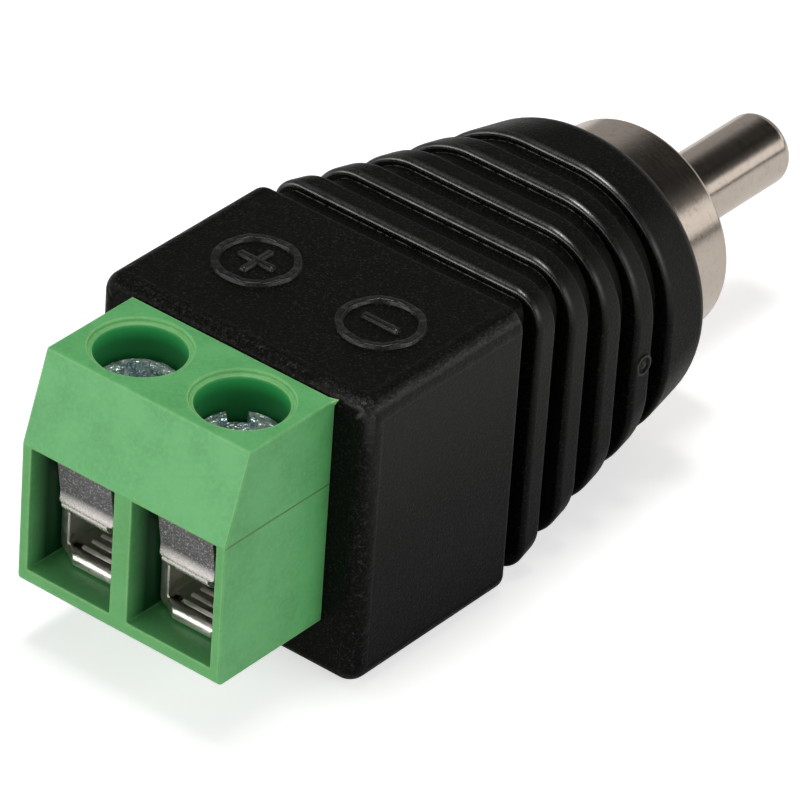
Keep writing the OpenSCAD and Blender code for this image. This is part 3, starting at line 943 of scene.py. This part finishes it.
def build_housing():
    foot = [
        (TERM_FRONT + FOOT_R * (1 - math.sin(a)), TERM_Z + FOOT_R * (1 - math.cos(a)))
        for a in quarter(8)
    ]
    roof = FRONT_TOP - ROOF_STRIP
    profile = [(BODY_FRONT, TERM_Z)] + foot
    opening = len(profile)
    profile += [
        (TERM_FRONT, POCKET_Z), (TERM_FRONT, roof), (TERM_FRONT, FRONT_TOP),
        (TERM_FRONT + SLOPE_BACK, TERM_TOP), (BODY_FRONT, TERM_TOP),
    ]
    pole = POLE_PITCH / 2
    half = POCKET_W / 2
    columns = [-POLE_PITCH, -pole - half, -pole + half, pole - half, pole + half, POLE_PITCH]
    count = len(profile)
    verts = [(x, y, z) for x in columns for y, z in profile]
    faces = []
    pocket_columns = (1, 3)
    pocket_end = BODY_FRONT - POCKET_BACK_T
    for c in range(len(columns) - 1):
        a, b = c * count, (c + 1) * count
        for i in range(count):
            j = (i + 1) % count
            if c in pocket_columns and i == opening:
                back = len(verts)
                verts += [
                    (columns[c], pocket_end, POCKET_Z), (columns[c], pocket_end, roof),
                    (columns[c + 1], pocket_end, roof), (columns[c + 1], pocket_end, POCKET_Z),
                ]
                faces += [
                    (a + i, b + i, back + 3, back), (a + j, a + i, back, back + 1),
                    (b + j, a + j, back + 1, back + 2), (b + i, b + j, back + 2, back + 3),
                    (back, back + 3, back + 2, back + 1),
                ]
            else:
                faces.append((a + i, a + j, b + j, b + i))
    faces.append(tuple(reversed(range(count))))
    faces.append(tuple((len(columns) - 1) * count + i for i in range(count)))
    mesh = bevelled("terminal_moulding", new_mesh("terminal_moulding", verts, faces), EDGE)
    step_z = TERM_TOP - WELL_STEP_T
    wide_r = WELL_R + WELL_STEP
    well = rounded_path([
        (WELL_R, FRONT_TOP - CUT_OVER, 0), (WELL_R, step_z, WELL_STEP_R),
        (wide_r, step_z, WELL_STEP_R), (wide_r, TERM_TOP - WELL_RIM, WELL_RIM_R),
        (wide_r + WELL_RIM, TERM_TOP, 0), (wide_r + WELL_RIM, TERM_TOP + CUT_OVER, 0),
    ], 4)
    for side in SIDES.values():
        tool = lathe(well, upright(side * pole, WELL_AXIS), 96, closed=False)
        mesh = cut("terminal_moulding", mesh, *tool)
    obj = piece("terminal_moulding", mesh, GREEN, "housing", "terminal_housing")
    weigh_normals(obj)
    spigot = box_mesh(
        (-POLE_PITCH + SPIGOT_SIDE, BODY_FRONT - SINK, TERM_Z + SPIGOT_FOOT),
        (POLE_PITCH - SPIGOT_SIDE, SPIGOT_END, TERM_TOP - SPIGOT_TOP),
    )
    piece("terminal_spigot", new_mesh("terminal_spigot", *spigot), GREEN, "housing")


def build_flash():
    """The small spur of flash at the rear corner of the terminal block's top."""
    x = POLE_PITCH - EDGE
    y = BODY_FRONT - FLASH_GAP
    z = TERM_TOP - EDGE
    leg_x, leg_y, leg_z = FLASH_LEGS
    verts = [(x - leg_x, y, z), (x, y - leg_y, z), (x, y, z - leg_z), (x + FLASH_OUT, y, z + FLASH_UP)]
    faces = [(0, 1, 3), (1, 2, 3), (2, 0, 3), (0, 2, 1)]
    piece("terminal_flash", new_mesh("terminal_flash", verts, faces), GREEN, "housing")


# Contacts

def strip_ring(x, at, across, half_w):
    """A strip's rounded section. at and across are (y, z): its middle and its thickness direction."""
    ring = rect_ring(half_w, STRIP_T / 2, SHEET_EDGE, 3)
    return [(x + u, at[0] + v * across[0], at[1] + v * across[1]) for u, v in ring]


def build_contact(name, side):
    x = side * POLE_PITCH / 2
    mid = BEND_R - STRIP_T / 2
    bend_y = TERM_FRONT + CONTACT_IN + BEND_R
    bend_z = BAR_Z + BEND_R
    lean = math.radians(GUARD_LEAN)
    roof = FRONT_TOP - ROOF_STRIP
    guard_h = (roof - GUARD_GAP - bend_z) / math.cos(lean)
    tail = [(TAIL_END, TAIL_W / 2), (BODY_FRONT - TAIL_IN, TAIL_W / 2)]
    bar = [(BODY_FRONT - BAR_IN, BAR_W / 2), (bend_y, BAR_W / 2)]
    rings = []
    burnish_and_sheen = []
    for y, half_w in tail + bar:
        rings.append(strip_ring(x, (y, BAR_Z + STRIP_T / 2), (0, -1), half_w))
        burnish_and_sheen.append(0.0)
    turn = math.pi / 2 - lean
    for i in range(1, BEND_STEPS + 1):
        a = turn * i / BEND_STEPS
        out = (-math.sin(a), -math.cos(a))
        reach = mid + FLARE * (i / BEND_STEPS) ** 2
        rings.append(strip_ring(x, (bend_y + reach * out[0], bend_z + reach * out[1]), out, BAR_W / 2))
        burnish_and_sheen.append(i / BEND_STEPS)
    out = (-math.cos(lean), -math.sin(lean))
    up = (-math.sin(lean), math.cos(lean))
    foot = (bend_y + mid * out[0], bend_z + mid * out[1])
    guard_half = GUARD_W / 2 + GUARD_GROW / 2
    climb = [
        (GUARD_FOOT, BAR_W / 2), (GUARD_FLANK, BAR_W / 2 + GUARD_FOOT_R),
        (GUARD_CORNER, guard_half - GUARD_CORNER_R),
    ]
    climb += [(GUARD_FULL + GUARD_ROW * i, guard_half) for i in range(GUARD_ROWS)]
    climb += [(guard_h - GUARD_EDGE, guard_half), (guard_h, guard_half - GUARD_EDGE)]
    for h, half_w in climb:
        share = max(0.0, 1 - h / FLARE_H)
        flare = FLARE * share * share * (3 - 2 * share)
        at = (foot[0] + h * up[0] + flare * out[0], foot[1] + h * up[1] + flare * out[1])
        shift = GUARD_GROW / 2 if half_w > BAR_W / 2 else 0.0
        rings.append(strip_ring(x + shift, at, out, half_w))
        # Burnish with a painted highlight, lightest at the bend and fading up the guard
        burnish_and_sheen.append(min(1.0, BURNISH_SHEEN_GAIN * share))
    mesh = new_mesh(name, *skin(rings))
    point_attribute(mesh, "burnish_and_sheen", [b for b in burnish_and_sheen for _ in rings[0]])
    obj = piece(name, mesh, TIN, "housing", name.replace("strip", "contact"), angle=45)
    weigh_normals(obj)


# Clamps

def build_cage(name, side):
    x = side * POLE_PITCH / 2
    body = name.replace("clamp", "cage")
    half_h = CAGE_HEIGHT / 2
    inner_h = (CAGE_HEIGHT - CAGE_FLOOR - CAGE_TOP) / 2
    middle = CAGE_Z + half_h
    inner_middle = CAGE_Z + CAGE_FLOOR + inner_h
    back = CAGE_FRONT + CAGE_L

    def outer(y, inset):
        ring = rect_ring(CAGE_W / 2 - inset, half_h - inset, CAGE_R - inset, 8)
        return [(x + u, y, middle + v) for u, v in ring]

    def inner(y, inset):
        ring = rect_ring(CAGE_INNER_W / 2 + inset, inner_h + inset, CAGE_INNER_R + inset, 8)
        return [(x + u, y, inner_middle + v) for u, v in ring]

    e = SHEET_EDGE
    near_e = EDGE_ROUND * e
    tube = skin([
        outer(CAGE_FRONT + e, 0), outer(back - e, 0), outer(back - near_e, near_e), outer(back, e),
        inner(back, e), inner(back - e, 0), inner(CAGE_FRONT + e, 0), inner(CAGE_FRONT, e),
        outer(CAGE_FRONT, e), outer(CAGE_FRONT + near_e, near_e),
    ], closed=True)
    mesh = new_mesh(name, *tube)
    bore = lathe(
        [(SCREW_R + THREAD_GAP, middle), (SCREW_R + THREAD_GAP, middle + CAGE_HEIGHT)],
        upright(x, WELL_AXIS), 64, closed=False,
    )
    mesh = cut(name, mesh, *bore)
    obj = piece(name, mesh, CLAMP, body, body, angle=40)
    weigh_normals(obj)
    build_tongue(name + "_tongue", x, body)
    build_ridges(name + "_ridges", x, body)


def build_tongue(name, x, body):
    """The floor's front tongue, which curls down a little at its lip."""
    top = CAGE_Z + CAGE_FLOOR
    lip = CAGE_FRONT - TONGUE_L
    path = []
    for degrees in LIP_ANGLES:
        a = math.radians(degrees)
        path.append((lip + LIP_ROUND * (1 - math.sin(a)), LIP_ROUND * (1 - math.cos(a))))
    path += [(CAGE_FRONT, 0.0), (CAGE_FRONT + TONGUE_L, 0.0)]
    rings = []
    for y, drop in path:
        share = max(0.0, (CAGE_FRONT - y) / TONGUE_L)
        half_w = between(CAGE_INNER_W / 2, TONGUE_W / 2, share)
        low = CAGE_Z + (LIP_LIFT if y < lip + LIP_LIFT_L else 0.0)
        half = (top - drop - low) / 2
        ring = rect_ring(half_w, half, TONGUE_EDGE, 3)
        rings.append([(x + u, y, low + half + v) for u, v in ring])
    mesh = new_mesh(name, *skin([list(reversed(r)) for r in rings]))
    obj = piece(name, mesh, CLAMP, body, angle=45)
    weigh_normals(obj)


def build_ridges(name, x, body):
    parts = []
    top = CAGE_Z + CAGE_FLOOR
    for i in range(RIDGE_COUNT):
        y = CAGE_FRONT + RIDGE_PITCH * (0.5 + i)
        profile = rounded_path([
            (y - RIDGE_H, top - SINK, 0), (y - RIDGE_H, top, RIDGE_FOOT_R), (y, top + RIDGE_H, RIDGE_TOP_R),
            (y + RIDGE_H, top, RIDGE_FOOT_R), (y + RIDGE_H, top - SINK, 0),
        ], 3)
        ends = (-RIDGE_W / 2, -RIDGE_W / 2 + RIDGE_END, RIDGE_W / 2 - RIDGE_END, RIDGE_W / 2)
        shares = (RIDGE_END_RISE, 1.0, 1.0, RIDGE_END_RISE)
        rings = [
            [(x + u, py, top - SINK + (pz - top + SINK) * s) for py, pz in profile]
            for u, s in zip(ends, shares)
        ]
        parts.append(skin([list(reversed(r)) for r in rings]))
    mesh = new_mesh(name, *merge(*parts))
    piece(name, mesh, CLAMP, body, angle=45)


def thread_part(x):
    """A screw thread as rings that climb one pitch per turn."""
    sides = 48
    per_turn = 16
    turns = (HEAD_Z - SCREW_TIP) / THREAD_PITCH
    rings = []
    steps = int(turns * per_turn)
    for s in range(steps + 1):
        z = SCREW_TIP + (HEAD_Z - SCREW_TIP) * s / steps
        ring = []
        for i in range(sides):
            phase = (z / THREAD_PITCH - i / sides) % 1.0
            wave = min(1.0, THREAD_FLANK * abs(phase - 0.5))
            a = 2 * math.pi * i / sides
            end = min(1.0, (z - SCREW_TIP) / THREAD_LEAD_L)
            r = SCREW_R - THREAD_LEAD_R * (1 - end) - THREAD_DEPTH * wave * end
            ring.append((x + r * math.cos(a), WELL_AXIS + r * math.sin(a), z))
        rings.append(ring)
    return skin(rings)


def build_screw(name, side, turn):
    x = side * POLE_PITCH / 2
    body = name.replace("head", "screw")
    profile = rounded_path([
        (ON_AXIS, HEAD_Z, 0), (HEAD_R, HEAD_Z, HEAD_FOOT_R), (HEAD_R, HEAD_TOP - HEAD_RIM, HEAD_RIM_R),
        (HEAD_R - HEAD_DOME, HEAD_TOP, HEAD_DOME), (ON_AXIS, HEAD_TOP, 0),
    ], 6)
    mesh = new_mesh(name, *lathe(profile, upright(x, WELL_AXIS), 96, closed=False))
    a = math.radians(turn)

    def turned(points):
        return [
            (x + u * math.cos(a) - v * math.sin(a), WELL_AXIS + u * math.sin(a) + v * math.cos(a), z)
            for u, v, z in points
        ]

    def trough(half_u, half_v, depth, slant):
        low = HEAD_TOP - depth
        high = HEAD_TOP + TOOL_OVER
        rings = []
        for z, grow in ((low, 0.0), (high, slant)):
            ring = rect_ring(half_u + grow, half_v + grow, SLOT_CORNER_R, 3)
            rings.append(turned([(u, v, z) for u, v in ring]))
        return skin(rings)

    mesh = cut(name, mesh, *trough(HEAD_R + SLOT_OVER, SLOT_W / 2, SLOT_T, SLOT_SLANT))
    mesh = cut(name, mesh, *trough(SLOT_W / 2 - CROSS_NARROW, CROSS_L / 2, SLOT_T, CROSS_SLANT))
    mesh = cut(name, mesh, *trough(SOCKET_HALF, SOCKET_HALF, SLOT_T * SOCKET_DEPTH, SOCKET_SLANT))
    obj = piece(name, mesh, ZINC, body, body, angle=35)
    weigh_normals(obj)
    thread_name = name.replace("head", "thread")
    thread = new_mesh(thread_name, *thread_part(x))
    piece(thread_name, thread, ZINC, body, angle=60)


# Plug

def build_collar():
    rim = COLLAR_WALL * RIM_ROUND
    lip_face = COLLAR_SEAT + LIP_T
    profile = rounded_path([
        (COLLAR_R - TURNED_LAND, COLLAR_SEAT, 0), (COLLAR_R, COLLAR_SEAT, TURNED_R),
        (COLLAR_R, COLLAR_RIM, rim), (COLLAR_BORE_R, COLLAR_RIM, rim),
        (COLLAR_BORE_R, lip_face, TURNED_R), (LIP_R, lip_face, TURNED_R),
        (LIP_R, COLLAR_SEAT, TURNED_R), (LIP_R + TURNED_LAND, COLLAR_SEAT, 0),
    ], 8)
    tab = box_mesh(
        (LIP_R, COLLAR_SEAT - TAB_L, AXIS_Z - TAB_W / 2),
        (LIP_R + LIP_T, COLLAR_SEAT + LIP_T / 2, AXIS_Z + TAB_W / 2),
    )
    mesh = new_mesh("plug_collar", *lathe(profile, on_plug_axis))
    obj = piece("plug_collar", mesh, NICKEL, "housing", "collar", angle=45)
    weigh_normals(obj)
    piece("plug_collar_tab", new_mesh("plug_collar_tab", *tab), NICKEL, "housing")


def build_pin():
    shoulder = PIN_R + PIN_SHOULDER_W
    neck_end = INSULATOR_BACK + INSULATOR_T + PIN_NECK_REACH
    cup_floor = CUP_BACK + CUP_L / 2
    cup_r = CUP_BORE_R + CUP_WALL
    profile = rounded_path([
        (ON_AXIS, cup_floor, 0), (CUP_BORE_R, cup_floor, NECK_R), (CUP_BORE_R, CUP_BACK, TURNED_R),
        (cup_r, CUP_BACK, CUP_RIM_R), (cup_r, PIN_SHOULDER_BACK, NECK_R),
        (shoulder, PIN_SHOULDER_BACK, SHOULDER_R), (shoulder, PIN_SHOULDER_FACE, SHOULDER_R),
        (PIN_NECK_R, PIN_SHOULDER_FACE, NECK_R), (PIN_NECK_R, neck_end, NECK_R), (PIN_R, neck_end, NECK_R),
        (PIN_R, PIN_TIP, PIN_TIP_R), (ON_AXIS, PIN_TIP, 0),
    ], 12)
    mesh = new_mesh("plug_pin", *lathe(profile, on_plug_axis, closed=False))
    obj = piece("plug_pin", mesh, NICKEL, "housing", "centre_pin", angle=45)
    weigh_normals(obj)


def build_insulator():
    outer, inner = COLLAR_BORE_R - SEAT_GAP, PIN_NECK_R + SEAT_GAP
    back, front = INSULATOR_BACK, INSULATOR_BACK + INSULATOR_T
    profile = rounded_path([
        (outer - INSULATOR_LAND, back, 0), (outer, back, TURNED_R), (outer, front, INSULATOR_R),
        (inner, front, INSULATOR_R), (inner, back, TURNED_R), (inner + INSULATOR_LAND, back, 0),
    ], 5)
    mesh = new_mesh("plug_insulator", *lathe(profile, on_plug_axis))
    piece("plug_insulator", mesh, IVORY, "housing", "insulator")


build_body()
build_marks()
build_gate_mark()
build_housing()
build_flash()
for side_name, sign in SIDES.items():
    build_contact("strip_" + side_name, sign)
    build_cage("clamp_" + side_name, sign)
    build_screw("head_" + side_name, sign, SLOT_TURNS[side_name])
build_collar()
build_pin()
build_insulator()
for lead_name in ("signal_lead", "ground_lead"):
    lead_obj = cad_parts[lead_name]
    lead_obj.data.materials.clear()
    lead_obj.data.materials.append(WIRE)


# Floor, light and camera

FLOOR_HALF = 600.0
FLOOR_DROP = 0.01
FLOOR_WHITE = 0.75
FLOOR_GLOW = 0.6
FLOOR_MIRROR_GLOW = 0.14
WALL = 0.36
WALL_TOP = 0.01
WALL_ON_RIGHT = 0.15
CEILING = 0.35
RIGHT_PANEL = 2.8
BACK_PANEL = 0.97
FRONT_PANEL = 3.3
WORLD_COLOR = (1.0, 0.99, 0.975, 1)

# Where each part of the studio fades in, as parts of the direction's length
RIGHT_X = (0.10, 0.25)
RIGHT_Y = (-0.35, -0.10)
HORIZON_Z = (0.06, 0.11)
WALL_Z = (0.50, 0.68)
CEILING_Z = (0.86, 0.95)
BACK_Y = (0.45, 0.60)
RIGHT_PANEL_Z = (0.58, 0.54)
BACK_PANEL_Z = (0.44, 0.36)
FRONT_X = (0.40, 0.20)
FRONT_Y = (-0.4, -0.6)
FRONT_Z = (0.60, 0.20)

# Softbox, in millimetres and watts
SOFTBOX_AT = (-30, 20, 300)
SOFTBOX_AIM = (0, 5, 6)
SOFTBOX_SIZE = 90
SOFTBOX_WATTS = 0.42
SOFTBOX_COLOR = (1.0, 0.99, 0.98)

# Camera, in degrees, pixels and millimetres, as fitted to the photo
AZIMUTH = 37.145
ELEVATION = 33.807
ROLL = 4.0375
FOCAL_PX = 7516.8
FRAME_PX = 800
SENSOR = 36.0
CORNER_TO_RIGHT = 14.7716
CORNER_TO_UP = 6.9571
CORNER_TO_BACK = 290.2516


def floor_material():
    n = material_nodes("floor_white")
    path = n.add("ShaderNodeLightPath")
    mirrored = n.math("MAXIMUM", path.outputs["Is Glossy Ray"], path.outputs["Is Transmission Ray"])
    glow = n.math("MULTIPLY", path.outputs["Is Camera Ray"], FLOOR_GLOW)
    glow = n.math("ADD", glow, n.math("MULTIPLY", mirrored, FLOOR_MIRROR_GLOW))
    diffuse = n.add("ShaderNodeBsdfDiffuse", {"Color": (FLOOR_WHITE, FLOOR_WHITE, FLOOR_WHITE, 1)})
    emission = n.add("ShaderNodeEmission", {"Color": (1, 1, 1, 1), "Strength": glow})
    both = n.add("ShaderNodeAddShader")
    n.put(both.inputs[0], diffuse.outputs[0])
    n.put(both.inputs[1], emission.outputs[0])
    return n.finish(both)


def build_floor():
    corners = ((-1, -1), (1, -1), (1, 1), (-1, 1))
    verts = [(u * FLOOR_HALF, v * FLOOR_HALF, -FLOOR_DROP) for u, v in corners]
    obj = scene_object("floor", new_mesh("floor", verts, [(0, 1, 2, 3)]))
    obj.data.materials.append(floor_material())


def build_world():
    """A studio with dim walls, dark above them, a grey ceiling, and panels in front, right and behind."""
    world = bpy.data.worlds.new("studio")
    bpy.context.scene.world = world
    n = Nodes(world, "ShaderNodeOutputWorld")
    x, y, z = n.axes(n.add("ShaderNodeTexCoord").outputs["Generated"])
    to_right = n.times(n.ramp(x, *RIGHT_X), n.ramp(y, *RIGHT_Y))
    above_line = n.ramp(z, *HORIZON_Z)
    walls = n.times(n.ramp(z, *WALL_Z, WALL, WALL_TOP), n.ramp(to_right, 0.0, 1.0, 1.0, WALL_ON_RIGHT))
    level = n.math("ADD", walls, n.ramp(z, *CEILING_Z, 0.0, CEILING))
    to_back = n.ramp(y, *BACK_Y)
    panel = n.times(n.ramp(z, *RIGHT_PANEL_Z, 0.0, RIGHT_PANEL), n.math("SUBTRACT", 1.0, to_back))
    panel = n.math("ADD", panel, n.times(n.ramp(z, *BACK_PANEL_Z, 0.0, BACK_PANEL), to_back))
    right = n.times(to_right, above_line, panel)
    front = n.times(n.ramp(x, *FRONT_X), n.ramp(y, *FRONT_Y), n.ramp(z, *FRONT_Z))
    level = n.math("ADD", level, right)
    level = n.math("ADD", level, n.times(front, FRONT_PANEL))
    n.finish(n.add("ShaderNodeBackground", {"Color": WORLD_COLOR, "Strength": level}))


def build_softbox():
    light = bpy.data.lights.new("top", "AREA")
    light.shape = "RECTANGLE"
    light.size = SOFTBOX_SIZE * MM
    light.size_y = SOFTBOX_SIZE * MM
    light.energy = SOFTBOX_WATTS
    light.color = SOFTBOX_COLOR
    obj = scene_object("top", light)
    obj.location = Vector(SOFTBOX_AT) * MM
    aim = Vector(SOFTBOX_AIM) * MM - obj.location
    obj.rotation_mode = "QUATERNION"
    obj.rotation_quaternion = aim.to_track_quat("-Z", "Y")


def build_camera():
    azimuth, elevation, roll = (math.radians(a) for a in (AZIMUTH, ELEVATION, ROLL))
    flat = math.cos(elevation)
    back = Vector((math.sin(azimuth) * flat, -math.cos(azimuth) * flat, math.sin(elevation)))
    level = Vector((math.cos(azimuth), math.sin(azimuth), 0))
    rise = back.cross(level)
    right = level * math.cos(roll) + rise * math.sin(roll)
    up = back.cross(right)
    camera = bpy.data.cameras.new("camera")
    camera.sensor_width = SENSOR
    camera.lens = SENSOR * FOCAL_PX / FRAME_PX
    camera.clip_start = 0.01
    camera.clip_end = 10.0
    obj = scene_object("camera", camera)
    corner = Vector((-POLE_PITCH, TERM_FRONT, TERM_Z))
    place = corner + right * CORNER_TO_RIGHT + up * CORNER_TO_UP + back * CORNER_TO_BACK
    turn = Matrix((right, up, back)).transposed().to_4x4()
    obj.matrix_world = Matrix.Translation(place * MM) @ turn
    bpy.context.scene.camera = obj


build_floor()
build_world()
build_softbox()
build_camera()
bpy.context.scene.view_settings.view_transform = "Standard"
